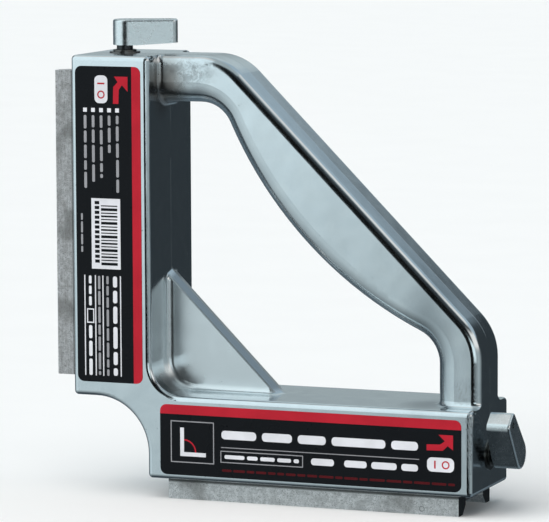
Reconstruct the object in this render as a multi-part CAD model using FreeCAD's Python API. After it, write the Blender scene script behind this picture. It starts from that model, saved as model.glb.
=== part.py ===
import FreeCAD, Part

import os
from math import degrees, sqrt

from FreeCAD import Vector

# A switchable 90 degree welding magnet square. A polished light-alloy casting carries two equal legs,
# a gusset in the inner corner and a diagonal handle. Each leg holds a switched magnet: two steel pole
# shoes stand out of its outer face, and a magnet rotor between them is turned by a lever on the leg's end.
#
# Everything is drawn in millimetres from the corner where the two pole planes meet: X runs along the
# horizontal leg, Z up the vertical leg and Y from the front to the back, with Y = 0 the middle plane.
# At the end the parts are moved so that the origin is at the middle of the footprint.
# The contents of a leg are drawn once, for the vertical leg: there Z runs along the leg and X is the
# depth in from the pole plane. The horizontal leg's set is the mirror image about the plane X = Z.

# ---- Driving dimensions -------------------------------------------------------------------------
REACH = 194.5                # pole plane to the far end of the other leg
THICKNESS = 49.5             # the casting, front to back
POLE_STANDS_OUT = 9.0        # pole shoes in front of the casting
LEG_DEPTH = 37.0             # the casting's leg, from its outer to its inner face
NOTCH = 44.3                 # weld clearance at the outer corner, from either pole plane
NOTCH_RADIUS = 24.5
INNER_RADIUS = 14.0          # between the legs
CORNER_RADIUS = 1.8          # other corners, seen from the front
EDGE_RADIUS = 2.2            # round the front and back faces

HANDLE_WIDTH = 28.0          # front to back
HANDLE_DIAGONAL = 271.0      # X + Z on the handle's flat outer face
HANDLE_KNEE = 26.0           # radius of the outer bends
HANDLE_ROOT = 20.6           # handle's depth where it meets a leg
GRIP_DEPTH = 31.1            # handle's depth in the middle of the grip
BELLY_RADIUS = 180.0         # of the grip's finger side, along the diagonal
FINGER_BEND = 15.0           # radius of the bends between the belly and the roots
OUTER_ROUND = 4.0            # handle's outer edges
FINGER_ROUND = 9.0           # handle's finger-side edges
ROOT_FILLET = 2.6            # hollow round where the handle springs from a leg
OVERLAP = 4.0                # how far handle and gusset are drawn into the legs

GUSSET_WIDTH = 10.8
GUSSET_DIAGONAL = 144.0      # X + Z on the edges of the gusset's sloping face
GUSSET_CREST = 1.2           # how much further the middle of that face stands
GUSSET_FILLET = 3.0          # hollow round along its foot
GUSSET_EASE = 0.8            # flat that eases its two long edges

POLE_START = 52.7            # pole shoes, from the other leg's pole plane
POLE_END = 187.5
POLE_SPREAD = 41.6           # over both shoes
POLE_BAR = 9.0               # width of one shoe's working end
POLE_CHAMFER = 4.0           # its inner edge, so that a pair makes a vee for pipe
GROOVE_DEPTH = 5.6           # pole plane to the strip between the shoes
POLE_LIP = 6.0               # inner half gap of the wider part that wraps the rotor
POCKET_GAP = 0.2             # between a shoe's end and the pocket
POCKET_DEPTH = 41.5

DOWEL_RADIUS = 1.2           # through both shoes and the spacer behind the rotor
DOWEL_INSET = 12.5           # from the shoes' ends

AXIS_DEPTH = 24.4            # rotor axis, from the pole plane
ROTOR_RADIUS = 12.2
ROTOR_GAP = 0.4              # rotor to shoes, and rotor to the pocket's ends
SPACER_GAP = 0.9             # rotor to the strip between the shoes
MAGNET_LENGTH = 34.0
MAGNET_THICKNESS = 12.0
MAGNET_SPAN = 20.6           # across the rotor, the way it is magnetised
MAGNET_COUNT = 3
MAGNET_WEB = 3.0             # alloy between two magnets
MAGNET_SHIFT = 3.0           # the row is nearer to the pivot, to leave room for the shaft
MAGNET_TURN = 45.0           # magnetised direction, from the lever's direction

SHAFT_RADIUS = 3.6
SHAFT_SEAT = 14.0            # shaft inside the rotor
SHAFT_COVER = 3.5            # lever above the shaft's end
PIVOT_RADIUS = 3.0
PIVOT_SEAT = 8.4             # pivot bush inside the rotor
PIVOT_BUSH_RADIUS = 4.6
PIVOT_START = 1.0            # notch face to the pivot pin's end
PIVOT_REACH = 8.0            # pivot pin beyond the pocket's end wall
DRIVE_PIN_RADIUS = 1.25
DRIVE_PIN_RECESS = 1.2       # its ends below the rotor's surface
RUNNING = 0.05               # radial clearance of a turning fit
BUSH_RADIUS = 5.2
FLANGE_RADIUS = 6.8          # thin rim on the casting's end face
FLANGE_HEIGHT = 0.5
COLLAR_HEIGHT = 1.4          # bush above the end face
COLLAR_ROUND = 0.4
SEAL_HEIGHT = 1.5
STOP_RADIUS = 1.5
STOP_CIRCLE = 8.6            # rotor axis to the stop pin
STOP_SEAT = 4.0              # stop pin in the casting
STOP_TONGUE = 3.0            # stop pin towards the rotor
STOP_GAP = 0.3               # stop pin to the groove round it

LEVER_LIFT = 3.4             # casting's end face to the lever's underside
LEVER_THICKNESS = 11.3
LEVER_TIP_THICKNESS = 10.3
LEVER_TIP = 23.4             # shaft axis to the lever's tip
LEVER_HEEL = 5.2             # shaft axis to the lever's round end
LEVER_HALF_WIDTH = 7.0
LEVER_TIP_HALF_WIDTH = 5.0
LEVER_TIP_RADIUS = 2.6
LEVER_HEEL_RADIUS = 6.4
LEVER_TOP_ROUND = 1.0
LEVER_HOLE = 19.7            # shaft axis to the small hole near the tip
LEVER_HOLE_RADIUS = 1.3
LEVER_HOLE_DEPTH = 5.0
LEVER_SWING = 45.0           # either way from pointing inwards
VERTICAL_LEAN = 22.0         # lever positions as drawn, degrees towards the back from pointing inwards
HORIZONTAL_LEAN = -40.0
SCREW_RADIUS = 1.5
SCREW_RECESS = 0.5           # screw's end below the lever's side
SOCKET_RADIUS = 0.75
SOCKET_DEPTH = 1.1

LABEL_THICKNESS = 0.2
LABEL_CORNER = 3.0
LABEL_OUTER_MARGIN = 2.3     # leg's outer face to the label
LABEL_INNER_MARGIN = 3.6     # leg's inner face to the label
LABEL_END_MARGIN = 4.6
LABEL_START = 50.6           # pole plane to the label's near end

# ---- Sizes that follow --------------------------------------------------------------------------
HALF = THICKNESS / 2
INNER_FACE = POLE_STANDS_OUT + LEG_DEPTH
POCKET_START = POLE_START - POCKET_GAP
POCKET_END = POLE_END + POCKET_GAP
ROTOR_START = POCKET_START + ROTOR_GAP
ROTOR_END = POCKET_END - ROTOR_GAP
ROTOR_CENTRE = Vector(AXIS_DEPTH, 0, 0)
LEVER_BASE = REACH + LEVER_LIFT
LEVER_TOP = LEVER_BASE + LEVER_THICKNESS
SHAFT_TOP = LEVER_TOP - SHAFT_COVER
SCREW_LEVEL = (LEVER_BASE + SHAFT_TOP) / 2
MAGNET_PITCH = MAGNET_LENGTH + MAGNET_WEB
MAGNET_ROW = MAGNET_COUNT * MAGNET_PITCH - MAGNET_WEB
MAGNET_START = (POLE_START + POLE_END - MAGNET_ROW) / 2 - MAGNET_SHIFT
SPACER_DEPTH = AXIS_DEPTH - ROTOR_RADIUS - SPACER_GAP
CHAMBER_TOP = AXIS_DEPTH + ROTOR_RADIUS + ROTOR_GAP
DOWEL_DEPTH = (CHAMBER_TOP + POCKET_DEPTH) / 2
DOWEL_PLACES = (POLE_START + DOWEL_INSET, POLE_END - DOWEL_INSET)
PAST = 1.0                   # how far a cutter is drawn past the face that it opens
NEAR = 0.01                  # for finding edges by where they are
UP = Vector(0, 0, 1)
BACK = Vector(0, 1, 0)


# ---- Small helpers ------------------------------------------------------------------------------
def box(x0, x1, y0, y1, z0, z1):
    return Part.makeBox(x1 - x0, y1 - y0, z1 - z0, Vector(x0, y0, z0))


def post(radius, z0, z1, x=AXIS_DEPTH, y=0.0):
    """A round bar parallel to the leg."""
    return Part.makeCylinder(radius, z1 - z0, Vector(x, y, z0), UP)


def prism(points, half_width):
    """The outline in the XZ plane, carried from front to back."""
    corners = [Vector(x, -half_width, z) for x, z in points]
    outline = Part.makePolygon(corners + corners[:1])
    return Part.Face(outline).extrude(BACK * (2 * half_width))


def middle(edge):
    return edge.valueAt((edge.FirstParameter + edge.LastParameter) / 2)


def crosswise(edge):
    """True for a straight edge that runs from front to back."""
    first, last = edge.Vertexes[0].Point, edge.Vertexes[-1].Point
    return abs(first.x - last.x) < NEAR and abs(first.z - last.z) < NEAR


def round_corner(shape, x, z, radius):
    """Rounds the front-to-back edge at this corner."""
    chosen = [e for e in shape.Edges if crosswise(e)
              and abs(middle(e).x - x) < NEAR and abs(middle(e).z - z) < NEAR]
    return shape.makeFillet(radius, chosen)


def mirror_legs(shape):
    """Swaps the two legs."""
    return shape.mirror(Vector(0, 0, 0), Vector(1, 0, -1))


def turned(shape, lean):
    """Turns a moving part of the vertical leg about the rotor axis."""
    copy = shape.copy()
    copy.rotate(ROTOR_CENTRE, UP, lean)
    return copy


# ---- The casting --------------------------------------------------------------------------------
def legs():
    out, inn = POLE_STANDS_OUT, INNER_FACE
    shape = prism([(out, NOTCH), (out, REACH), (inn, REACH), (inn, inn),
                   (REACH, inn), (REACH, out), (NOTCH, out), (NOTCH, NOTCH)], HALF)
    shape = round_corner(shape, inn, inn, INNER_RADIUS)
    shape = round_corner(shape, NOTCH, NOTCH, NOTCH_RADIUS)
    for x, z in ((out, NOTCH), (out, REACH), (inn, REACH), (REACH, inn), (REACH, out), (NOTCH, out)):
        shape = round_corner(shape, x, z, CORNER_RADIUS)
    rim = [e for e in shape.Edges if abs(abs(middle(e).y) - HALF) < NEAR]
    return shape.makeFillet(EDGE_RADIUS, rim)


def handle():
    """A flat outer face with a belly towards the fingers, flush with the ends of both legs."""
    start = INNER_FACE - OVERLAP
    root = REACH - HANDLE_ROOT
    knee = HANDLE_DIAGONAL - REACH
    belly = HANDLE_DIAGONAL / 2 - GRIP_DEPTH / sqrt(2)
    belly_centre = belly + BELLY_RADIUS / sqrt(2)
    corner = belly_centre - sqrt(BELLY_RADIUS ** 2 - (belly_centre - root) ** 2)

    def at(x, z):
        return Vector(x, -HANDLE_WIDTH / 2, z)

    outline = [
        Part.LineSegment(at(start, REACH), at(knee, REACH)).toShape(),
        Part.LineSegment(at(knee, REACH), at(REACH, knee)).toShape(),
        Part.LineSegment(at(REACH, knee), at(REACH, start)).toShape(),
        Part.LineSegment(at(REACH, start), at(root, start)).toShape(),
        Part.LineSegment(at(root, start), at(root, corner)).toShape(),
        Part.Arc(at(root, corner), at(belly, belly), at(corner, root)).toShape(),
        Part.LineSegment(at(corner, root), at(start, root)).toShape(),
        Part.LineSegment(at(start, root), at(start, REACH)).toShape(),
    ]
    shape = Part.Face(Part.Wire(outline)).extrude(BACK * HANDLE_WIDTH)
    shape = round_corner(shape, knee, REACH, HANDLE_KNEE)
    shape = round_corner(shape, REACH, knee, HANDLE_KNEE)
    shape = round_corner(shape, corner, root, FINGER_BEND)
    shape = round_corner(shape, root, corner, FINGER_BEND)

    rim = [e for e in shape.Edges if abs(abs(middle(e).y) - HANDLE_WIDTH / 2) < NEAR
           and min(middle(e).x, middle(e).z) > start + NEAR]
    # The outer edges are beyond the handle's mid-line, on the roots and on the long grip.
    root_line = (REACH + root) / 2
    grip_line = HANDLE_DIAGONAL - GRIP_DEPTH / 2
    outer = [e for e in rim if max(middle(e).x, middle(e).z) > root_line
             or middle(e).x + middle(e).z > grip_line]
    finger_places = [middle(e) for e in rim if not any(e.isSame(o) for o in outer)]
    shape = shape.makeFillet(OUTER_ROUND, outer)
    fingers = [e for e in shape.Edges if any((middle(e) - p).Length < NEAR for p in finger_places)]
    return shape.makeFillet(FINGER_ROUND, fingers)


def root_flare(grip):
    """The hollow round where the handle springs from the vertical leg."""
    side = HANDLE_WIDTH / 2 + 2 * ROOT_FILLET
    below = REACH - HANDLE_ROOT - 2 * ROOT_FILLET
    slab = box(INNER_FACE - OVERLAP, INNER_FACE, -side, side, below, REACH + side)
    root = grip.common(box(INNER_FACE - OVERLAP / 2, INNER_FACE + 3 * ROOT_FILLET, -side, side, below, REACH))
    joined = slab.fuse(root)
    loop = [e for e in joined.Edges if abs(middle(e).x - INNER_FACE) < NEAR
            and abs(middle(e).y) < HANDLE_WIDTH / 2 + NEAR and below + NEAR < middle(e).z < REACH + NEAR]
    flared = joined.makeFillet(ROOT_FILLET, loop)
    return flared.common(box(INNER_FACE - OVERLAP / 2, INNER_FACE + 2 * ROOT_FILLET, NEAR - side, side - NEAR,
                             below + NEAR, REACH))


def gusset():
    """A web across the inner corner, its sloping face slightly crested along the middle."""
    start = INNER_FACE - OVERLAP

    def section(y, diagonal):
        corners = [Vector(start, y, start), Vector(diagonal - start, y, start),
                   Vector(start, y, diagonal - start)]
        return Part.makePolygon(corners + corners[:1])

    side = GUSSET_WIDTH / 2
    front_half = [(-side, -GUSSET_EASE), (GUSSET_EASE - side, 0.0)]
    back_half = [(-y, lift) for y, lift in reversed(front_half)]
    profile = front_half + [(0.0, GUSSET_CREST)] + back_half
    sections = [section(y, GUSSET_DIAGONAL + lift) for y, lift in profile]
    return Part.makeLoft(sections, True, True)


def round_gusset(body):
    """A hollow round along the gusset's foot on both legs."""
    side = GUSSET_WIDTH / 2
    foot = []
    for edge in body.Edges:
        m = middle(edge)
        on_leg = abs(m.x - INNER_FACE) < NEAR or abs(m.z - INNER_FACE) < NEAR
        in_corner = max(m.x, m.z) < INNER_FACE + INNER_RADIUS and min(m.x, m.z) > INNER_FACE
        if abs(m.y) < side + NEAR and max(m.x, m.z) < GUSSET_DIAGONAL and (on_leg or in_corner):
            foot.append(edge)
    return body.makeFillet(GUSSET_FILLET, foot)


def leg_hollows():
    """What is cut out of the vertical leg: the magnet pocket and the bores for bush, pivot and stop."""
    pocket = box(POLE_STANDS_OUT - PAST, POCKET_DEPTH, -POLE_SPREAD / 2, POLE_SPREAD / 2,
                 POCKET_START, POCKET_END)
    bush_bore = post(BUSH_RADIUS, POCKET_END - PAST, REACH + PAST)
    pivot_bore = post(PIVOT_RADIUS, NOTCH + PIVOT_START, POCKET_START + PAST)
    stop_bore = post(STOP_RADIUS, POCKET_END - PAST, POCKET_END + STOP_SEAT, AXIS_DEPTH - STOP_CIRCLE)
    return pocket.fuse([bush_bore, pivot_bore, stop_bore])


def body_casting():
    body = round_gusset(legs().fuse(gusset()).removeSplitter())
    grip = handle()
    flare = root_flare(grip)
    body = body.fuse([grip, flare, mirror_legs(flare)]).removeSplitter()
    hollows = leg_hollows()
    return body.cut(hollows).cut(mirror_legs(hollows))


# ---- Fixed contents of a leg --------------------------------------------------------------------
def dowel_bars():
    bars = [Part.makeCylinder(DOWEL_RADIUS, POLE_SPREAD, Vector(DOWEL_DEPTH, -POLE_SPREAD / 2, z), BACK)
            for z in DOWEL_PLACES]
    return Part.makeCompound(bars)


def rear_pole_shoe():
    outer, bar = POLE_SPREAD / 2, POLE_SPREAD / 2 - POLE_BAR
    section = [(0, outer), (0, bar + POLE_CHAMFER), (POLE_CHAMFER, bar), (SPACER_DEPTH, bar),
               (SPACER_DEPTH, POLE_LIP), (POCKET_DEPTH, POLE_LIP), (POCKET_DEPTH, outer)]
    corners = [Vector(x, y, POLE_START) for x, y in section]
    shape = Part.Face(Part.makePolygon(corners + corners[:1])).extrude(UP * (POLE_END - POLE_START))
    chamber = post(ROTOR_RADIUS + ROTOR_GAP, POLE_START - PAST, POLE_END + PAST)
    return shape.cut(chamber).cut(dowel_bars())


def front_pole_shoe():
    return rear_pole_shoe().mirror(Vector(0, 0, 0), BACK)


def outer_spacer():
    """The non-magnetic strip at the bottom of the groove between the shoes."""
    half = POLE_SPREAD / 2 - POLE_BAR
    return box(GROOVE_DEPTH, SPACER_DEPTH, -half, half, POLE_START, POLE_END)


def inner_spacer():
    bar = box(CHAMBER_TOP, POCKET_DEPTH, -POLE_LIP, POLE_LIP, POLE_START, POLE_END)
    return bar.cut(dowel_bars())


def shaft_bush():
    """A tube that stands above the end face, with a thin rim resting on that face."""
    top = REACH + COLLAR_HEIGHT
    tube = post(BUSH_RADIUS, POCKET_END + SEAL_HEIGHT, top)
    tube = tube.makeFillet(COLLAR_ROUND, [e for e in tube.Edges if abs(middle(e).z - top) < NEAR])
    rim = post(FLANGE_RADIUS, REACH, REACH + FLANGE_HEIGHT)
    bore = post(SHAFT_RADIUS + RUNNING, POCKET_END, top + PAST)
    return tube.fuse(rim).removeSplitter().cut(bore)


def shaft_seal():
    ring = post(BUSH_RADIUS, POCKET_END, POCKET_END + SEAL_HEIGHT)
    return ring.cut(post(SHAFT_RADIUS + RUNNING, POCKET_END - PAST, POCKET_END + SEAL_HEIGHT + PAST))


def pivot_pin():
    return post(PIVOT_RADIUS, NOTCH + PIVOT_START, POCKET_START + PIVOT_REACH)


def stop_pin():
    return post(STOP_RADIUS, POCKET_END - STOP_TONGUE, POCKET_END + STOP_SEAT, AXIS_DEPTH - STOP_CIRCLE)


# ---- Turning parts of a leg, drawn with the lever pointing inwards ------------------------------
def magnet_bars(length, span):
    """Blocks along the rotor axis, one above the other."""
    bars = []
    for i in range(MAGNET_COUNT):
        z = MAGNET_START + i * MAGNET_PITCH
        bar = box(AXIS_DEPTH - span / 2, AXIS_DEPTH + span / 2,
                  -MAGNET_THICKNESS / 2, MAGNET_THICKNESS / 2, z, z + length)
        bars.append(turned(bar, MAGNET_TURN))
    return Part.makeCompound(bars)


def drive_pin():
    length = 2 * (ROTOR_RADIUS - DRIVE_PIN_RECESS)
    z = ROTOR_END - SHAFT_SEAT / 2
    return Part.makeCylinder(DRIVE_PIN_RADIUS, length, Vector(AXIS_DEPTH, -length / 2, z), BACK)


def stop_groove():
    """The arc in the rotor's end in which the stop pin stands."""
    depth = STOP_TONGUE - ROTOR_GAP + 2 * STOP_GAP
    half_angle = LEVER_SWING + degrees((STOP_RADIUS + STOP_GAP) / STOP_CIRCLE)
    wide = STOP_CIRCLE + STOP_RADIUS + STOP_GAP
    narrow = STOP_CIRCLE - STOP_RADIUS - STOP_GAP
    base = Vector(AXIS_DEPTH, 0, ROTOR_END - depth)
    sector = Part.makeCylinder(wide, depth + PAST, base, UP, 2 * half_angle)
    sector = sector.cut(Part.makeCylinder(narrow, depth + PAST, base, UP))
    return turned(sector, 180.0 - half_angle)


def rotor_carrier():
    shape = post(ROTOR_RADIUS, ROTOR_START, ROTOR_END)
    shape = shape.cut(magnet_bars(MAGNET_LENGTH, 3 * ROTOR_RADIUS))
    shape = shape.cut(post(SHAFT_RADIUS, ROTOR_END - SHAFT_SEAT, ROTOR_END + PAST))
    shape = shape.cut(post(PIVOT_BUSH_RADIUS, ROTOR_START - PAST, ROTOR_START + PIVOT_SEAT))
    return shape.cut(drive_pin()).cut(stop_groove())


def pivot_bush():
    ring = post(PIVOT_BUSH_RADIUS, ROTOR_START, ROTOR_START + PIVOT_SEAT)
    return ring.cut(post(PIVOT_RADIUS + RUNNING, ROTOR_START - PAST, ROTOR_START + PIVOT_SEAT + PAST))


def lever_shaft():
    shape = post(SHAFT_RADIUS, ROTOR_END - SHAFT_SEAT, SHAFT_TOP)
    return shape.cut(drive_pin())


def set_screw():
    base = Vector(AXIS_DEPTH, SHAFT_RADIUS, SCREW_LEVEL)
    length = LEVER_HALF_WIDTH - SHAFT_RADIUS - SCREW_RECESS
    screw = Part.makeCylinder(SCREW_RADIUS, length, base, BACK)
    socket_base = base + BACK * (length - SOCKET_DEPTH)
    socket = Part.makeCylinder(SOCKET_RADIUS, SOCKET_DEPTH + PAST, socket_base, BACK)
    return screw.cut(socket)


def lever():
    """A tapered bar with a round heel, thinner towards the tip on its underside."""
    corners = [(-LEVER_HEEL, -LEVER_HALF_WIDTH), (LEVER_TIP, -LEVER_TIP_HALF_WIDTH),
               (LEVER_TIP, LEVER_TIP_HALF_WIDTH), (-LEVER_HEEL, LEVER_HALF_WIDTH)]
    points = [Vector(AXIS_DEPTH + x, y, LEVER_BASE) for x, y in corners]
    shape = Part.Face(Part.makePolygon(points + points[:1])).extrude(UP * LEVER_THICKNESS)

    def corner_edges(x):
        return [e for e in shape.Edges if abs(middle(e).x - AXIS_DEPTH - x) < NEAR
                and abs(middle(e).z - LEVER_BASE - LEVER_THICKNESS / 2) < NEAR]

    shape = shape.makeFillet(LEVER_TIP_RADIUS, corner_edges(LEVER_TIP))
    shape = shape.makeFillet(LEVER_HEEL_RADIUS, corner_edges(-LEVER_HEEL))
    # The underside rises towards the tip from just beyond the bush.
    rise = LEVER_THICKNESS - LEVER_TIP_THICKNESS
    start, end = AXIS_DEPTH + BUSH_RADIUS, AXIS_DEPTH + LEVER_TIP
    below = LEVER_BASE - PAST
    wedge = prism([(start, below), (start, LEVER_BASE), (end, LEVER_BASE + rise),
                   (end + PAST, LEVER_BASE + rise), (end + PAST, below)], 2 * LEVER_HALF_WIDTH)
    shape = shape.cut(wedge)
    top = [e for e in shape.Edges if abs(middle(e).z - LEVER_TOP) < NEAR]
    shape = shape.makeFillet(LEVER_TOP_ROUND, top)
    hole = post(LEVER_HOLE_RADIUS, LEVER_TOP - LEVER_HOLE_DEPTH, LEVER_TOP + PAST, AXIS_DEPTH + LEVER_HOLE)
    bore = post(SHAFT_RADIUS, below, SHAFT_TOP)
    thread = Part.makeCylinder(SCREW_RADIUS, 2 * LEVER_HALF_WIDTH, Vector(AXIS_DEPTH, 0, SCREW_LEVEL), BACK)
    return shape.cut([hole, bore, thread])


# ---- Labels -------------------------------------------------------------------------------------
def label(x0, x1, z0, z1):
    """A thin plate with round corners, stuck on the front face."""
    plate = box(x0, x1, -HALF - LABEL_THICKNESS, -HALF, z0, z1)
    corners = [e for e in plate.Edges if crosswise(e)]
    return plate.makeFillet(LABEL_CORNER, corners)


# ---- Writing the parts --------------------------------------------------------------------------
FIXED = {
    "front_pole_shoe": front_pole_shoe,
    "rear_pole_shoe": rear_pole_shoe,
    "outer_spacer_strip": outer_spacer,
    "inner_spacer_bar": inner_spacer,
    "pole_dowels": dowel_bars,
    "shaft_bush": shaft_bush,
    "shaft_seal": shaft_seal,
    "pivot_pin": pivot_pin,
    "stop_pin": stop_pin,
}
TURNING = {
    "switch_lever": lever,
    "lever_set_screw": set_screw,
    "lever_shaft": lever_shaft,
    "rotor_drive_pin": drive_pin,
    "rotor_carrier": rotor_carrier,
    "rotor_magnets": lambda: magnet_bars(MAGNET_LENGTH, MAGNET_SPAN),
    "rotor_pivot_bush": pivot_bush,
}


def all_parts():
    parts = {"body_casting": body_casting()}
    for name, make in FIXED.items():
        shape = make()
        parts["vertical_" + name] = shape
        parts["horizontal_" + name] = mirror_legs(shape)
    for name, make in TURNING.items():
        shape = make()
        parts["vertical_" + name] = turned(shape, VERTICAL_LEAN)
        parts["horizontal_" + name] = mirror_legs(turned(shape, HORIZONTAL_LEAN))
    low, high = POLE_STANDS_OUT + LABEL_OUTER_MARGIN, INNER_FACE - LABEL_INNER_MARGIN
    end = REACH - LABEL_END_MARGIN
    parts["vertical_label"] = label(low, high, LABEL_START, end)
    parts["horizontal_label"] = label(LABEL_START, end, low, high)
    return parts


os.makedirs("parts", exist_ok=True)
to_origin = Vector(-LEVER_TOP / 2, 0, 0)
for name, shape in all_parts().items():
    shape.translated(to_origin).exportStep("parts/" + name + ".step")
    print(name, len(shape.Solids), round(shape.Volume, 1), shape.isValid())
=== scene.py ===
from math import cos, radians, sin
from random import Random

import bmesh
import bpy
from mathutils import Matrix, Vector


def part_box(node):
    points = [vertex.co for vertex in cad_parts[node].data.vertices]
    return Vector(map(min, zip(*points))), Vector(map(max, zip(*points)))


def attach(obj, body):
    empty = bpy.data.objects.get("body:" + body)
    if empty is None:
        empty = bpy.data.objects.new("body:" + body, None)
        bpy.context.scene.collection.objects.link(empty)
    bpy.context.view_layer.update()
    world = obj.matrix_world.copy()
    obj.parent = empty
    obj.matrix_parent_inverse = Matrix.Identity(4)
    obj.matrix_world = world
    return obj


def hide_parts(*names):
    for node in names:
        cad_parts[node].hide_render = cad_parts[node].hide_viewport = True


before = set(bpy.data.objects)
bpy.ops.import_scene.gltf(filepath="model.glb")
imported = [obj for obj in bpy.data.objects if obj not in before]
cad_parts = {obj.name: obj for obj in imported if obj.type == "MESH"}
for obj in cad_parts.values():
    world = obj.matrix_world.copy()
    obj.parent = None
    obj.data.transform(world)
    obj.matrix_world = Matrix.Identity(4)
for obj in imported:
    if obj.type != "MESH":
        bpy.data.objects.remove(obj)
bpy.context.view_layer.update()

MM = 0.001

# ---- Sizes taken from the frame -----------------------------------------------------------------
CORNER_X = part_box("vertical_front_pole_shoe")[0].x   # the vertical leg's pole plane
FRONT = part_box("body_casting")[0].y                  # the casting's front face

# ---- Camera, in degrees and millimetres from the corner where the pole planes meet ---------------
CAMERA_AZIMUTH = 21.546
CAMERA_ELEVATION = 6.748
CAMERA_ROLL = -0.253
CAMERA_TARGET = (94.6, 0.0, 102.6)
CAMERA_DISTANCE = 1711.4
LENS = 256.1
SENSOR_WIDTH = 36.0
SHIFT_X, SHIFT_Y = 0.0016, 0.0071
CLIP_NEAR, CLIP_FAR = 0.05, 60.0                     # metres


def corner_point(x, y, z):
    """A place in millimetres from the corner where the pole planes meet, in the row frame."""
    return Vector((CORNER_X + x * MM, y * MM, z * MM))


def make_camera():
    azimuth, elevation, roll = (radians(a) for a in (CAMERA_AZIMUTH, CAMERA_ELEVATION, CAMERA_ROLL))
    back = Vector((sin(azimuth) * cos(elevation), -cos(azimuth) * cos(elevation), sin(elevation)))
    level = Vector((cos(azimuth), sin(azimuth), 0))
    upright = back.cross(level)
    right = level * cos(roll) + upright * sin(roll)
    up = upright * cos(roll) - level * sin(roll)
    data = bpy.data.cameras.new("photo_camera")
    data.sensor_width = SENSOR_WIDTH
    data.lens = LENS
    data.shift_x, data.shift_y = SHIFT_X, SHIFT_Y
    data.clip_start, data.clip_end = CLIP_NEAR, CLIP_FAR
    camera = bpy.data.objects.new("photo_camera", data)
    place = corner_point(*CAMERA_TARGET) + back * CAMERA_DISTANCE * MM
    turn = Matrix((right, up, back)).transposed().to_4x4()
    camera.matrix_world = Matrix.Translation(place) @ turn
    bpy.context.scene.collection.objects.link(camera)
    bpy.context.scene.camera = camera


# ---- Node building ------------------------------------------------------------------------------
class Nodes:
    """Adds nodes to one tree. An input is a number, a colour or another node's output."""

    def __init__(self, tree):
        self.tree = tree

    def add(self, kind, output=0, inputs=(), **settings):
        node = self.tree.nodes.new(kind)
        for key, value in settings.items():
            setattr(node, key, value)
        for key, value in dict(inputs).items():
            self.feed(node.inputs[key], value)
        return node.outputs[output]

    def feed(self, socket, value):
        if isinstance(value, bpy.types.NodeSocket):
            self.tree.links.new(value, socket)
        else:
            socket.default_value = value

    def math(self, operation, a, b=0.0):
        return self.add("ShaderNodeMath", inputs={0: a, 1: b}, operation=operation)

    def larger(self, a, b):
        return self.math("MAXIMUM", a, b)

    def band(self, value, low, high, low_soft, high_soft):
        """1 between low and high, fading to 0 over the given distance on either side of each."""
        return self.product(self.step(value, low - low_soft, low + low_soft),
                            self.step(value, high + high_soft, high - high_soft))

    def step(self, value, low, high):
        """0 below low and 1 above high, smooth between; low may be the larger."""
        return self.add("ShaderNodeMapRange", interpolation_type="SMOOTHSTEP", inputs={
            "Value": value, "From Min": low, "From Max": high, "To Min": 0.0, "To Max": 1.0})

    def scale(self, value, low, high, to_low, to_high):
        return self.add("ShaderNodeMapRange", inputs={
            "Value": value, "From Min": low, "From Max": high, "To Min": to_low, "To Max": to_high})

    def mix(self, factor, a, b):
        """A colour, from a where the factor is 0 to b where it is 1."""
        node = self.tree.nodes.new("ShaderNodeMix")
        node.data_type = "RGBA"
        self.feed(node.inputs["Factor"], factor)
        self.feed(node.inputs[6], a)
        self.feed(node.inputs[7], b)
        return node.outputs[2]

    def product(self, *values):
        result = values[0]
        for value in values[1:]:
            result = self.math("MULTIPLY", result, value)
        return result


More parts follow.
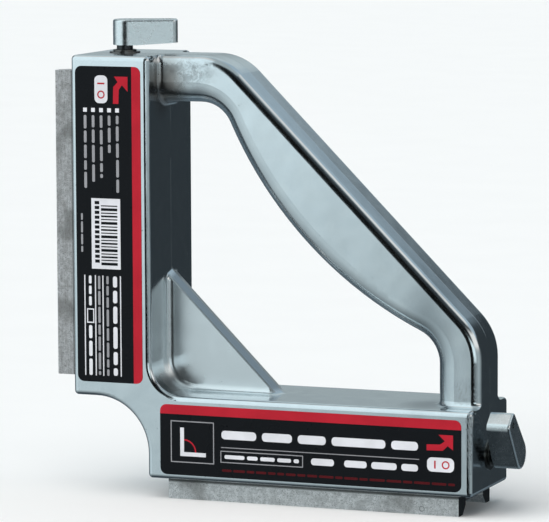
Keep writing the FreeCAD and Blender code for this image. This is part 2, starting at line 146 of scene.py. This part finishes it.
class Finish(Nodes):
    """A material, with its coordinates in millimetres from the pole planes' corner."""

    def __init__(self, name, metallic=0.0):
        self.material = bpy.data.materials.new(name)
        self.material.use_nodes = True
        super().__init__(self.material.node_tree)
        self.shader = self.tree.nodes["Principled BSDF"]
        self.shader.inputs["Metallic"].default_value = metallic
        place = self.add("ShaderNodeTexCoord", output="Object")
        shifted = self.add("ShaderNodeVectorMath", operation="SUBTRACT",
                           inputs={0: place, 1: (CORNER_X, 0, 0)})
        self.place = self.add("ShaderNodeVectorMath", operation="SCALE",
                              inputs={0: shifted, "Scale": 1 / MM})
        node = self.tree.nodes.new("ShaderNodeSeparateXYZ")
        self.tree.links.new(self.place, node.inputs[0])
        self.x, self.y, self.z = node.outputs

    def noise(self, size, detail=2.0, roughness=0.5, stretch=(1, 1, 1), distortion=0.0):
        """Noise with features about size millimetres wide, longer along the axes that stretch gives."""
        place = self.add("ShaderNodeVectorMath", operation="DIVIDE",
                         inputs={0: self.place, 1: tuple(size * s for s in stretch)})
        return self.add("ShaderNodeTexNoise", output="Fac", inputs={
            "Vector": place, "Scale": 1.0, "Detail": detail, "Roughness": roughness,
            "Distortion": distortion})

    def cells(self, size):
        """Distance from scattered points that lie about size millimetres apart, as a share of size."""
        place = self.add("ShaderNodeVectorMath", operation="DIVIDE",
                         inputs={0: self.place, 1: (size,) * 3})
        return self.add("ShaderNodeTexVoronoi", output="Distance",
                        inputs={"Vector": place, "Scale": 1.0, "Randomness": 1.0})

    def offset(self, centre):
        return self.add("ShaderNodeVectorMath", operation="SUBTRACT", inputs={0: self.place, 1: centre})

    def length(self, vector):
        return self.add("ShaderNodeVectorMath", output="Value", operation="LENGTH", inputs={0: vector})

    def near(self, centre, radii):
        """1 in the middle of an ellipsoid, fading to 0 at its edge."""
        share = self.add("ShaderNodeVectorMath", operation="DIVIDE",
                         inputs={0: self.offset(centre), 1: radii})
        return self.step(self.length(share), 1.0, 0.3)

    def bump(self, height, distance, normal=None):
        """A relief: height 1 stands distance millimetres above height 0."""
        inputs = {"Height": height, "Distance": distance * MM, "Strength": 1.0}
        if normal is not None:
            inputs["Normal"] = normal
        return self.add("ShaderNodeBump", inputs=inputs)

    def paint(self, colour, roughness, normal):
        self.feed(self.shader.inputs["Base Color"], colour)
        self.feed(self.shader.inputs["Roughness"], roughness)
        self.feed(self.shader.inputs["Normal"], normal)
        return self.material


def grey(value, tint=(1.0, 1.0, 1.0)):
    return (value * tint[0], value * tint[1], value * tint[2], 1.0)


# ---- Materials ----------------------------------------------------------------------------------
# Millimetres. A patch is its middle and how far it reaches along each axis.
POLE_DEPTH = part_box("body_casting")[0].z / MM        # pole plane to the casting
POLE_END = (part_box("horizontal_front_pole_shoe")[1].x - CORNER_X) / MM
POLE_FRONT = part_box("horizontal_front_pole_shoe")[0].y / MM
PUNCH_MARK = (170.7, POLE_FRONT, 2.5)
PUNCH_RADIUS = 1.1
PUNCH_LINE = 0.15                                    # half width of the punched ring
UPPER_ROOT = (60.0, -9.0, 187.0), (19.0, 12.0, 12.0)
LOWER_ROOT = (188.0, -10.0, 52.0), (11.0, 9.0, 9.0)
ROOT_STAIN = (50.0, -10.0, 181.0), (12.0, 14.0, 19.0)
END_EDGE = (194.6, -24.9, 36.0), (3.2, 3.2, 24.0)
# A patch of painted shade on the handle's finger side.
SHADED_FINGER_SIDE = (170.0, -9.0, 62.0), (17.0, 20.0, 50.0)
LEG_INNER = 46.0                                     # pole plane to the leg's inner face
GUSSET_LOW, GUSSET_HIGH = 143.7, 150.9               # X + Z, round the gusset's sloping edge
GUSSET_REACH = 6.5                                   # middle plane to just past the gusset's side
DRAFT = 0.0175                                       # slope of the mould halves


def between_legs(f, soft):
    """1 inside both legs' inner faces, fading over the given distance."""
    return f.product(f.step(f.x, LEG_INNER, LEG_INNER + soft), f.step(f.z, LEG_INNER, LEG_INNER + soft))


def casting_colour(f, smears, inner_corner):
    """Polished metal, whiter where it is left as cast, with painted shade along the gusset's sloping edge
    and on the handle's finger side.
    """
    away = f.math("ABSOLUTE", f.y)
    colour = f.mix(f.step(smears, 0.25, 0.75), grey(0.77, (0.94, 1.0, 1.03)), grey(0.83, (0.95, 1.0, 1.02)))
    colour = f.mix(inner_corner, colour, grey(0.94, (0.97, 1.0, 1.01)))
    # Painted shade along the gusset's sloping edge.
    gusset_edge_shade = f.product(f.band(f.math("ADD", f.x, f.z), GUSSET_LOW, GUSSET_HIGH, 0.6, 1.0),
                            between_legs(f, 3.0), f.step(away, GUSSET_REACH + 1.5, GUSSET_REACH))
    colour = f.mix(f.product(gusset_edge_shade, 0.85), colour, grey(0.34, (0.92, 1.0, 1.06)))
    # Painted shade on the handle's finger side.
    return f.mix(f.product(f.near(*SHADED_FINGER_SIDE), 0.90), colour, grey(0.36, (0.90, 1.0, 1.06)))


def polished_casting():
    f = Finish("polished_casting_metal", metallic=1.0)
    away = f.math("ABSOLUTE", f.y)
    # Broad buffing waves, a finer skin and small casting pores.
    waves = f.noise(16.0, detail=1.0)
    skin = f.noise(1.3, detail=3.0, roughness=0.6)
    smears = f.noise(9.0, detail=4.0, roughness=0.65, distortion=0.6)
    grit = f.noise(0.35, detail=2.0)
    pores = f.product(f.step(f.cells(3.4), 0.065, 0.03), f.step(f.noise(7.0), 0.54, 0.66))
    # Rougher cast skin round the handle's roots and along the front edge of the end face.
    upper_root = f.near(*UPPER_ROOT)
    roots = f.product(f.larger(upper_root, f.near(*LOWER_ROOT)), 0.16)
    rough = f.larger(roots, f.near(*END_EDGE))
    clouds = f.step(f.noise(4.0, detail=3.0, roughness=0.6), 0.42, 0.60)
    cloudy_root = f.product(upper_root, clouds)
    pits = f.product(rough, f.step(f.noise(1.1, detail=5.0, roughness=0.75), 0.50, 0.62))
    stain = f.product(f.near(*ROOT_STAIN), f.step(smears, 0.20, 0.50))
    # The inside corner behind the gusset is left as cast.
    inner_corner = f.product(f.step(f.math("ADD", f.x, f.z), 152.0, 144.0), between_legs(f, 1.5),
                             f.step(away, 19.0, 17.0))
    colour = casting_colour(f, smears, inner_corner)
    colour = f.mix(f.product(cloudy_root, 0.18), colour, grey(0.42, (1.04, 1.0, 0.97)))
    colour = f.mix(f.product(stain, 0.78), colour, (0.24, 0.19, 0.16, 1))
    colour = f.mix(f.larger(f.product(pores, 0.8), f.product(pits, 0.6)), colour, grey(0.10))
    roughness = f.scale(smears, 0.25, 0.75, 0.11, 0.16)
    roughened = [(rough, 0.15), (f.larger(inner_corner, stain), 0.14), (cloudy_root, 0.18), (grit, 0.04)]
    for mask, amount in roughened:
        roughness = f.math("ADD", roughness, f.product(mask, amount))
    # The mould's parting line on the middle plane, and the slight slope of the halves beside it.
    parting = f.product(f.step(away, 0.22, 0.05), f.step(f.noise(20.0), 0.36, 0.5))
    normal = f.bump(f.product(away, -DRAFT), 1.0)
    normal = f.bump(waves, 0.10, normal)
    normal = f.bump(skin, 0.005, normal)
    normal = f.bump(parting, 0.05, normal)
    normal = f.bump(f.math("SUBTRACT", 1.0, f.larger(pores, pits)), 0.07, normal)
    return f.paint(colour, roughness, normal)


def ground_steel():
    f = Finish("ground_pole_steel", metallic=0.85)
    # Sawn and blasted faces: speckle, darker stains and short scratches along the bar.
    speck = f.noise(0.45, detail=4.0, roughness=0.8)
    mottled = f.noise(2.6, detail=5.0, roughness=0.75)
    broad = f.noise(24.0, detail=3.0)
    along_z = f.noise(0.25, detail=3.0, roughness=0.7, stretch=(1, 1, 60))
    along_x = f.noise(0.25, detail=3.0, roughness=0.7, stretch=(60, 1, 1))
    upright = f.step(f.math("SUBTRACT", f.z, f.x), -2.0, 2.0)
    lines = f.add("ShaderNodeMix", output=0, inputs={0: upright, 2: along_x, 3: along_z})
    bright = f.mix(upright, grey(0.98, (1.0, 0.99, 0.99)), grey(0.74, (1.04, 1.0, 1.0)))
    dull = f.mix(upright, grey(0.60, (1.0, 0.99, 0.98)), grey(0.42, (1.08, 1.0, 0.98)))
    colour = f.mix(f.step(mottled, 0.34, 0.66), dull, bright)
    colour = f.mix(f.product(f.step(lines, 0.50, 0.66), 0.55), colour, grey(0.98))
    colour = f.mix(f.product(f.step(speck, 0.53, 0.63), 0.75), colour, grey(0.12, (1.06, 1.0, 0.94)))
    colour = f.mix(f.product(f.step(broad, 0.52, 0.66), 0.60), colour, grey(0.20, (1.06, 1.0, 0.94)))
    # A small punched ring near the end of the horizontal bar.
    punch = f.band(f.length(f.offset(PUNCH_MARK)), PUNCH_RADIUS - PUNCH_LINE, PUNCH_RADIUS + PUNCH_LINE,
                   PUNCH_LINE, PUNCH_LINE)
    colour = f.mix(f.product(punch, 0.7), colour, grey(0.12))
    # Painted shadow with an uneven edge under the casting's lip, where the bars enter the casting, and
    # scale on the sawn ends.
    depth = f.math("MINIMUM", f.x, f.z)
    uneven = f.math("ADD", depth, f.scale(mottled, 0.0, 1.0, -0.5, 0.5))
    lip_shadow = f.step(uneven, POLE_DEPTH - 1.9, POLE_DEPTH - 1.0)
    colour = f.mix(f.product(lip_shadow, 0.85), colour, grey(0.05, (0.9, 1.0, 0.95)))
    colour = f.mix(f.step(f.x, POLE_END - 0.25, POLE_END - 0.05), colour, grey(0.03, (0.95, 1.0, 1.05)))
    roughness = f.scale(mottled, 0.3, 0.7, 0.40, 0.56)
    normal = f.bump(f.math("ADD", f.product(speck, 0.7), f.product(lines, 0.5)), 0.05)
    normal = f.bump(mottled, 0.10, normal)
    return f.paint(colour, roughness, normal)


def lever_plating():
    f = Finish("lever_satin_plating", metallic=1.0)
    cloud = f.noise(3.0, detail=4.0, roughness=0.7)
    skin = f.noise(0.8, detail=3.0, roughness=0.65)
    pits = f.product(f.step(f.cells(2.2), 0.10, 0.04), f.step(f.noise(4.0), 0.46, 0.56))
    colour = f.mix(f.step(cloud, 0.3, 0.7), grey(0.78, (0.95, 1.0, 1.01)), grey(0.90, (0.97, 1.0, 1.01)))
    colour = f.mix(f.product(pits, 0.7), colour, grey(0.12))
    roughness = f.scale(cloud, 0.3, 0.7, 0.20, 0.30)
    normal = f.bump(skin, 0.012)
    normal = f.bump(cloud, 0.02, normal)
    normal = f.bump(f.math("SUBTRACT", 1.0, pits), 0.10, normal)
    return f.paint(colour, roughness, normal)


def plain_metal(name, shade, tint, roughness, mark_size=0.8):
    """Hidden or small metal parts: fine marks and uneven gloss."""
    f = Finish(name, metallic=1.0)
    marks = f.noise(mark_size, detail=4.0, roughness=0.7)
    colour = f.mix(f.step(marks, 0.3, 0.7), grey(shade * 0.8, tint), grey(shade * 1.1, tint))
    gloss = f.scale(marks, 0.3, 0.7, roughness * 0.8, roughness * 1.25)
    return f.paint(colour, gloss, f.bump(marks, 0.02))


def seal_rubber():
    f = Finish("seal_rubber", metallic=0.0)
    grain = f.noise(0.5, detail=4.0, roughness=0.7)
    colour = f.mix(grain, grey(0.012), grey(0.03))
    return f.paint(colour, f.scale(grain, 0.3, 0.7, 0.6, 0.8), f.bump(grain, 0.03))


PRINT_SPECULAR = 0.12


def print_ink(name, colour, roughness=0.34):
    """Label film and its inks: slight unevenness, fine dust and rubbed patches."""
    f = Finish(name, metallic=0.0)
    patch = f.noise(14.0, detail=3.0)
    dust = f.step(f.noise(0.45, detail=3.0, roughness=0.8), 0.66, 0.78)
    shade = f.mix(f.step(patch, 0.3, 0.7), tuple(c * 0.86 for c in colour[:3]) + (1,), colour)
    shade = f.mix(f.product(dust, 0.10), shade, grey(0.45))
    gloss = f.scale(patch, 0.3, 0.7, roughness - 0.05, roughness + 0.06)
    gloss = f.math("ADD", gloss, f.product(dust, 0.25))
    f.shader.inputs["Specular IOR Level"].default_value = PRINT_SPECULAR
    return f.paint(shade, gloss, f.bump(f.noise(5.0), 0.02))


CASTING = polished_casting()
STEEL = ground_steel()
PLATING = lever_plating()
FINISHES = {
    "body_casting": CASTING,
    "front_pole_shoe": STEEL,
    "rear_pole_shoe": STEEL,
    "switch_lever": PLATING,
    "outer_spacer_strip": plain_metal("spacer_dull_alloy", 0.22, (1.0, 1.0, 1.02), 0.5, mark_size=1.6),
    "inner_spacer_bar": plain_metal("inner_spacer_alloy", 0.40, (1.0, 1.0, 1.02), 0.45, mark_size=1.6),
    "pole_dowels": plain_metal("dowel_steel", 0.50, (1.0, 1.0, 1.0), 0.35),
    "shaft_bush": plain_metal("bush_turned_steel", 0.16, (1.04, 1.0, 0.94), 0.30, mark_size=0.5),
    "shaft_seal": seal_rubber(),
    "pivot_pin": plain_metal("pivot_pin_steel", 0.50, (1.0, 1.0, 1.0), 0.32),
    "stop_pin": plain_metal("stop_pin_steel", 0.48, (1.0, 1.0, 1.0), 0.34),
    "lever_set_screw": plain_metal("screw_black_steel", 0.06, (1.0, 1.0, 1.04), 0.42, mark_size=0.5),
    "lever_shaft": plain_metal("shaft_blackened_steel", 0.07, (0.98, 1.0, 1.03), 0.36, mark_size=0.5),
    "rotor_drive_pin": plain_metal("drive_pin_steel", 0.50, (1.0, 1.0, 1.0), 0.33),
    "rotor_carrier": plain_metal("rotor_turned_alloy", 0.60, (0.99, 1.0, 1.01), 0.34, mark_size=1.2),
    "rotor_magnets": plain_metal("magnet_nickel", 0.66, (1.02, 1.0, 0.95), 0.24),
    "rotor_pivot_bush": plain_metal("pivot_bush_bronze", 0.55, (1.05, 0.80, 0.46), 0.34),
}


def finish_nodes():
    """Gives each node the finish of its kind: its name without the leg in front."""
    for name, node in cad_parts.items():
        kind = name if name in FINISHES else name.split("_", 1)[1]
        if kind in FINISHES:
            node.data.materials.clear()
            node.data.materials.append(FINISHES[kind])


# ---- Labels -------------------------------------------------------------------------------------
# Millimetres. Places are along the reading direction, then down from the label's top edge.
FILM = 0.14                  # label film, in front of the casting
INK = 0.02                   # one printed layer
STRIPE = 4.2
CORNER = 3.0
WHITE = print_ink("label_white_ink", (0.80, 0.80, 0.84, 1))
DIM = print_ink("label_grey_ink", (0.34, 0.34, 0.36, 1))
RED = print_ink("label_red_ink", (0.50, 0.016, 0.032, 1))
DARK_RED = print_ink("label_dark_red_ink", (0.085, 0.006, 0.009, 1))
BLACK = print_ink("label_black_film", (0.006, 0.007, 0.009, 1), roughness=0.30)
# A bent arrow, pointing away from the start of the text and towards its top.
ARROW = [(0, 0), (0, 2.6), (6.1, 2.8), (8.2, 4.3), (5.4, 7.0), (11.9, 7.0), (11.9, 0.6), (9.5, 2.3),
         (7.3, 0.2)]
BADGE_LENGTH, BADGE_WIDTH = 12.2, 6.2
BULLET = 0.9                 # half of a bullet's side
BAR_WIDTHS = (0.5, 1.2, 0.5, 0.8)
BAR_GAP = 0.75
DIGIT_COUNT = 13
DIGIT_PITCH = 2.15


def round_rect(left, top, right, bottom, radius, steps=6):
    """Corner points of a rectangle with round corners."""
    centres = [(right - radius, top + radius, -90), (right - radius, bottom - radius, 0),
               (left + radius, bottom - radius, 90), (left + radius, top + radius, 180)]
    points = []
    for cx, cy, start in centres:
        for i in range(steps + 1):
            angle = radians(start + 90 * i / steps)
            points.append((cx + radius * cos(angle), cy + radius * sin(angle)))
    return points


def rect(left, top, right, bottom):
    return [(left, top), (right, top), (right, bottom), (left, bottom)]


def frame_rects(left, top, right, bottom, line):
    """The four sides of an outline."""
    return [rect(left, top, right, top + line), rect(left, bottom - line, right, bottom),
            rect(left, top + line, left + line, bottom - line),
            rect(right - line, top + line, right, bottom - line)]


def ring(along, down, inner, outer, turn, steps):
    """Pieces of a flat ring, from its right-hand end through turn degrees."""
    pieces = []
    for i in range(steps):
        a, b = radians(turn * i / steps), radians(turn * (i + 1) / steps)
        corners = ((a, inner), (a, outer), (b, outer), (b, inner))
        pieces.append([(along + r * cos(t), down + r * sin(t)) for t, r in corners])
    return pieces


class Label:
    """One leg's label: its film and the shapes printed on it, layer by layer."""

    def __init__(self, leg, reading, top, start):
        self.leg = leg
        self.reading, self.down, self.start = reading, -top, start
        self.inks = {}

    def spot(self, along, down, proud):
        place = self.start + (self.reading * along + self.down * down) * MM
        return Vector((place.x, FRONT - proud * MM, place.z))

    def put(self, ink, shapes, layer=1):
        self.inks.setdefault((ink.name, layer), (ink, []))[1].extend(shapes)

    def words(self, ink, left, right, middle, height, seed, longest=8.0):
        """A line of plain round-ended bars in place of a line of text."""
        random = Random(seed)
        shapes = []
        at = left
        while at < right - height:
            end = min(at + random.uniform(0.4, 1.0) * longest, right)
            if right - end < 2 * height:
                end = right
            top, bottom = middle - height / 2, middle + height / 2
            shapes.append(round_rect(at, top, end, bottom, 0.4 * height, steps=3))
            at = end + 0.7 * height
        self.put(ink, shapes)

    def build(self):
        for (name, layer), (ink, shapes) in self.inks.items():
            mesh = bmesh.new()
            base = 0.0 if layer == 0 else FILM + INK * (layer - 1)
            top = FILM + INK * layer
            for shape in shapes:
                low = [mesh.verts.new(self.spot(a, d, base)) for a, d in shape]
                high = [mesh.verts.new(self.spot(a, d, top)) for a, d in shape]
                mesh.faces.new(low)
                mesh.faces.new(high)
                for i in range(len(shape)):
                    j = (i + 1) % len(shape)
                    mesh.faces.new((low[i], low[j], high[j], high[i]))
            bmesh.ops.recalc_face_normals(mesh, faces=mesh.faces)
            part = "film" if layer == 0 else name.replace("label_", "") + str(layer)
            data = bpy.data.meshes.new(self.leg + "_label_" + part)
            mesh.to_mesh(data)
            mesh.free()
            data.materials.append(ink)
            piece = bpy.data.objects.new(data.name, data)
            bpy.context.scene.collection.objects.link(piece)
            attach(piece, "holder")
            if layer == 0:
                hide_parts(self.leg + "_label")


def top_strip(length):
    """The coloured strip along the top edge, round at its outer corners."""
    outline = round_rect(0, 0, length, 4 * STRIPE, CORNER)
    upper = [p for p in outline if p[1] < CORNER + 1e-6]
    right = [p for p in upper if p[0] > length / 2]
    left = [p for p in upper if p[0] <= length / 2]
    return right + [(length, STRIPE), (0, STRIPE)] + left


def shared_print(label, length, width):
    label.put(BLACK, [round_rect(0, 0, length, width, CORNER)], layer=0)
    label.put(RED, [top_strip(length)])


def badge(label, left, top):
    """A plate with the usual signs for on and off."""
    right, bottom = left + BADGE_LENGTH, top + BADGE_WIDTH
    label.put(WHITE, [round_rect(left, top, right, bottom, 2.2)])
    middle = (top + bottom) / 2
    label.put(RED, [rect(left + 3.2, middle - 1.7, left + 3.9, middle + 1.7)], layer=2)
    label.put(RED, ring(left + 8.4, middle, 1.2, 1.8, turn=360, steps=16), layer=2)


def bullet_lines(label):
    """Five lines, each with a square bullet, the first one nearest to the label's bottom edge."""
    for i, end in enumerate((53.6, 50.8, 49.0, 37.9, 55.3)):
        middle = 26.4 - 3.83 * i
        label.put(WHITE, [rect(19.2 - BULLET, middle - BULLET, 19.2 + BULLET, middle + BULLET)])
        label.words(DIM, 21.5, end, middle, 1.3, seed=10 + i)


def plain_barcode(label):
    """A white plate with evenly repeated bars and blocks, which encode nothing."""
    label.put(WHITE, [rect(58.0, 10.0, 89.1, 23.8)])
    bars = []
    at = 61.0
    while at < 87.0:
        width = BAR_WIDTHS[len(bars) % len(BAR_WIDTHS)]
        bars.append(rect(at, 11.4, at + width, 19.2))
        at += width + BAR_GAP
    label.put(BLACK, bars, layer=2)
    starts = [59.2 + DIGIT_PITCH * i for i in range(DIGIT_COUNT)]
    label.put(BLACK, [rect(start, 20.0, start + 1.4, 22.2) for start in starts], layer=2)
    label.words(DIM, 64.8, 81.9, 28.4, 0.9, seed=21, longest=6.0)


def ruled_lines(label):
    """Lines of bars between thin rules, with a small box in the last one."""
    for down in (10.2, 18.6, 22.2, 27.3):
        label.put(WHITE, [rect(92.0, down - 0.25, 136.5, down + 0.25)])
    label.words(WHITE, 92.2, 136.2, 12.8, 2.0, seed=31, longest=12.0)
    label.words(DIM, 92.2, 136.4, 16.4, 1.1, seed=32)
    label.words(DIM, 92.2, 136.2, 20.4, 1.1, seed=33)
    label.words(WHITE, 92.2, 105.5, 24.7, 1.3, seed=34, longest=5.0)
    label.put(WHITE, frame_rects(106.8, 22.9, 113.2, 26.4, 0.5))
    label.words(WHITE, 114.2, 136.4, 24.7, 1.6, seed=35)


def vertical_print(label, length, width):
    shared_print(label, length, width)
    label.put(RED, [[(16.3 - a, 13.0 - b) for a, b in ARROW]])
    badge(label, 4.0, 15.6)
    bullet_lines(label)
    plain_barcode(label)
    ruled_lines(label)


def right_angle_sign(label):
    """A plain sign for a right angle, in a frame."""
    label.put(DIM, frame_rects(5.0, 7.0, 25.5, 25.5, 0.45))
    label.put(WHITE, [rect(9.5, 10.0, 11.3, 22.6), rect(11.3, 20.8, 21.6, 22.6)])
    label.put(RED, ring(11.3, 20.8, 5.2, 5.8, turn=-90, steps=6))


def horizontal_print(label, length, width):
    shared_print(label, length, width)
    label.put(RED, [[(123.7 + a, 13.6 - b) for a, b in ARROW]])
    badge(label, 123.9, 16.5)
    right_angle_sign(label)
    label.words(WHITE, 29.0, 119.8, 12.2, 3.8, seed=41, longest=26.0)
    label.put(DIM, [rect(28.8, 17.6, 120.3, 17.95)])
    label.put(DIM, frame_rects(28.5, 19.2, 67.1, 24.5, 0.4))
    label.words(WHITE, 30.4, 65.2, 21.85, 1.7, seed=42, longest=12.0)
    label.words(WHITE, 70.8, 81.4, 21.6, 3.0, seed=43, longest=12.0)
    label.words(WHITE, 86.1, 119.8, 21.6, 3.0, seed=44, longest=16.0)
    label.words(DARK_RED, 29.2, 136.5, 27.9, 1.1, seed=45)


def make_labels():
    low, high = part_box("vertical_label")
    vertical = Label("vertical", Vector((0, 0, -1)), Vector((1, 0, 0)), Vector((high.x, 0, high.z)))
    vertical_print(vertical, (high.z - low.z) / MM, (high.x - low.x) / MM)
    vertical.build()
    low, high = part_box("horizontal_label")
    horizontal = Label("horizontal", Vector((1, 0, 0)), Vector((0, 0, 1)), Vector((low.x, 0, high.z)))
    horizontal_print(horizontal, (high.x - low.x) / MM, (high.z - low.z) / MM)
    horizontal.build()


# ---- Studio -------------------------------------------------------------------------------------
COOL, SLATE, WARM = (0.85, 1.0, 1.05), (0.78, 1.0, 1.16), (1.0, 0.99, 0.97)
FLOOR_HALF = 9.0                                     # metres
PAPER_TINT = (1.0, 0.985, 0.975)
LAMP_WIDTH = 70                                      # degrees
LAMP_TILT = (28, -14, 0)
LAMP_POWER = 2.1
LAMP_COLOUR = (1.0, 0.96, 0.94)


def make_world():
    """Soft studio light as seen from the object: each layer is painted over the ones before it.
    Angles are in degrees: azimuth from the front or the back, positive to the viewer's right as the
    photo camera sees it, and elevation from the horizon."""
    world = bpy.data.worlds.new("studio")
    world.use_nodes = True
    bpy.context.scene.world = world
    tree = world.node_tree
    tree.nodes.clear()
    n = Nodes(tree)
    direction = n.add("ShaderNodeTexCoord", output="Generated")
    split = tree.nodes.new("ShaderNodeSeparateXYZ")
    tree.links.new(direction, split.inputs[0])
    x, y, z = split.outputs
    from_front = n.math("DEGREES", n.math("ARCTAN2", x, n.math("MULTIPLY", y, -1.0)))
    from_back = n.math("DEGREES", n.math("ARCTAN2", x, y))
    elevation = n.math("DEGREES", n.math("ARCSINE", z))

    def panel(azimuth, left, right, bottom, top, soft):
        """A lit area between four angles. soft is how far its left, right, bottom and top edges fade."""
        return n.product(n.band(azimuth, left, right, soft[0], soft[1]),
                         n.band(elevation, bottom, top, soft[2], soft[3]))

    def shade(value, low, high, dark, bright, tint):
        """Grey from dark to bright as the angle goes from low to high."""
        return n.mix(n.scale(value, low, high, 0.0, 1.0), grey(dark, tint), grey(bright, tint))

    # Dim all round, darker on the right, and nearly black straight below.
    light = n.mix(n.step(from_front, 0.0, -60.0), grey(0.040, SLATE), grey(0.14, SLATE))
    light = n.mix(n.step(elevation, -45.0, -75.0), light, grey(0.03, SLATE))
    layers = [
        # The ceiling, brighter on the left.
        (n.step(elevation, 44.0, 60.0), grey(0.45, COOL)),
        (panel(from_front, -130, -35, 52, 82, (15, 10, 6, 6)), grey(0.74, WARM)),
        # Behind on the right a high wall light, and a brighter one above the right-hand side.
        (panel(from_back, -8, 82, 20.5, 70, (6, 8, 4.5, 6)), grey(0.50, SLATE)),
        (panel(from_front, 80, 128, 44, 58, (10, 12, 4, 4)), grey(0.88, WARM)),
        # Behind on the left a wall that is brighter higher up, and again along the horizon.
        (panel(from_back, -50, 2, -2, 66, (8, 5, 6, 6)), shade(elevation, 5, 25, 0.31, 0.62, COOL)),
        (panel(from_back, -50, 2, -2, 5.6, (8, 5, 4, 1.4)), grey(0.55, COOL)),
        # The large soft light on the left: brighter upwards, with a sharp right edge that is dimmer.
        (panel(from_front, -82, -16, -52, 70, (22, 1.5, 14, 10)),
         shade(elevation, -45, -8, 0.28, 0.72, COOL)),
        (panel(from_front, -82, -16, -5.6, 70, (22, 1.5, 2.6, 10)), grey(1.05, COOL)),
        (panel(from_front, -27, -16, -15, -8.0, (9, 1.5, 5, 1.4)), grey(0.52, COOL)),
        (panel(from_front, -19.4, -16, -30, -2, (2.4, 1.5, 10, 3)), grey(0.50, COOL)),
        # The dark space round the camera.
        (panel(from_front, -16, 42, -34, 47, (1.5, 6, 5, 4)), grey(0.003)),
        (panel(from_front, 10, 78, 35, 52, (8, 8, 3, 3)), grey(0.04, SLATE)),
        # On the right a low dim light, a higher bright one, a card beside the camera and the lit floor.
        (panel(from_front, 50, 112, -16, 8, (26, 30, 4, 3)), grey(0.42, COOL)),
        (panel(from_front, 50, 110, 9, 34, (6, 8, 5, 4)), grey(0.95, WARM)),
        (panel(from_front, 19, 50, -5.1, 12, (1.5, 14, 0.7, 4)), grey(1.12, COOL)),
        (panel(from_front, 85, 172, -60, -13, (10, 6, 8, 2)), grey(0.20, SLATE)),
    ]
    for mask, colour in layers:
        light = n.mix(mask, light, colour)
    # The camera itself sees plain white behind the floor.
    seen = n.add("ShaderNodeLightPath", output="Is Camera Ray")
    colour = n.mix(seen, light, grey(1.0))
    background = n.add("ShaderNodeBackground", inputs={"Color": colour, "Strength": 1.0})
    out = tree.nodes.new("ShaderNodeOutputWorld")
    tree.links.new(background, out.inputs["Surface"])


def floor_paper():
    f = Finish("studio_floor_paper", metallic=0.0)
    grain = f.noise(60.0, detail=2.0)
    colour = f.mix(grain, grey(0.92, PAPER_TINT), grey(0.95, PAPER_TINT))
    return f.paint(colour, 0.8, f.bump(grain, 0.02))


def make_floor():
    """A plain pale floor, which isn't mirrored in the metal."""
    mesh = bmesh.new()
    bmesh.ops.create_grid(mesh, x_segments=1, y_segments=1, size=FLOOR_HALF)
    data = bpy.data.meshes.new("studio_floor")
    mesh.to_mesh(data)
    mesh.free()
    data.materials.append(floor_paper())
    floor = bpy.data.objects.new("studio_floor", data)
    bpy.context.scene.collection.objects.link(floor)
    floor.visible_glossy = False


def make_light():
    """A broad soft lamp above, that lights the floor and the labels but isn't mirrored in the metal."""
    data = bpy.data.lights.new("soft_overhead", "SUN")
    data.angle = radians(LAMP_WIDTH)
    data.energy = LAMP_POWER
    data.color = LAMP_COLOUR
    light = bpy.data.objects.new("soft_overhead", data)
    light.rotation_euler = [radians(a) for a in LAMP_TILT]
    light.visible_glossy = False
    bpy.context.scene.collection.objects.link(light)


make_camera()
finish_nodes()
make_labels()
make_world()
make_floor()
make_light()
bpy.context.scene.view_settings.view_transform = "Standard"
